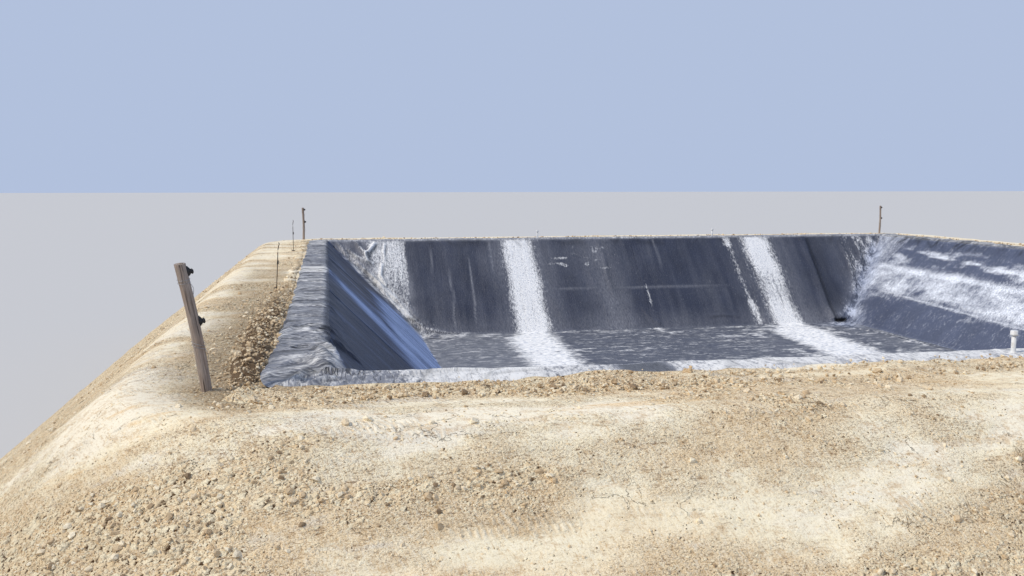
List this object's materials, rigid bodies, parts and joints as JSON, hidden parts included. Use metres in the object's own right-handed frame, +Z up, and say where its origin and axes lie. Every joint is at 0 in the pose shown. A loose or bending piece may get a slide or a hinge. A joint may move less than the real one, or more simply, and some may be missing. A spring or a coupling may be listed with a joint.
{
  "type": "slurry pit",
  "caption": "Open earth-banked slurry pit with a dark membrane lining, gas vents on the crest, fence posts and slim stakes beside the lining.",
  "frame": {"origin": "middle of the base, on the level ground that the banks stand on", "axes": "+Z up, +Y away from the near side and along the longer side, +X to the right"},
  "size_m": [27.4, 29.3, 3.7103],
  "materials": {
    "compacted_clay": "dry compacted sandy clay, rough and stony",
    "trench_fill": "loose clods and crumbs of dry soil",
    "membrane": "blue-black sheet with a satin sheen, fine wrinkles and bands of pale dust",
    "apron_membrane": "the same sheet under a film of pale dust, wrinkled across",
    "vent_pipe": "off-white pipe, a little dusty at the foot",
    "post_timber": "weathered grey-brown round timber with drying cracks",
    "stake_steel": "dark coated rod, rusty where worn"
  },
  "bodies": {
    "root": {"floor_formation": "compacted_clay", "near_bank": "compacted_clay", "right_bank": "compacted_clay", "far_bank": "compacted_clay", "left_bank": "compacted_clay", "near_trench_fill": "trench_fill", "right_trench_fill": "trench_fill", "far_trench_fill": "trench_fill", "left_trench_fill": "trench_fill", "near_apron": "apron_membrane", "right_apron": "apron_membrane", "far_apron": "apron_membrane", "left_apron": "apron_membrane", "floor_strip_1": "membrane", "floor_strip_2": "membrane", "floor_strip_3": "membrane", "floor_strip_4": "membrane", "near_left_corner_piece": "membrane", "near_slope_strip_1": "membrane", "near_slope_strip_2": "membrane", "near_slope_strip_3": "membrane", "near_slope_strip_4": "membrane", "near_right_corner_piece": "membrane", "far_left_corner_piece": "membrane", "far_slope_strip_1": "membrane", "far_slope_strip_2": "membrane", "far_slope_strip_3": "membrane", "far_slope_strip_4": "membrane", "far_right_corner_piece": "membrane", "left_slope_strip_1": "membrane", "left_slope_strip_2": "membrane", "left_slope_strip_3": "membrane", "left_slope_strip_4": "membrane", "right_slope_upper_strip": "membrane", "right_slope_lower_strip": "membrane", "near_left_vent_stem": "vent_pipe", "near_left_vent_cap": "vent_pipe", "near_right_vent_stem": "vent_pipe", "near_right_vent_cap": "vent_pipe", "far_left_vent_stem": "vent_pipe", "far_left_vent_cap": "vent_pipe", "far_right_vent_stem": "vent_pipe", "far_right_vent_cap": "vent_pipe", "near_left_post": "post_timber", "near_right_post": "post_timber", "far_left_post": "post_timber", "far_right_post": "post_timber", "left_front_stake": "stake_steel", "left_rear_stake": "stake_steel"}
  },
  "joints": []
}
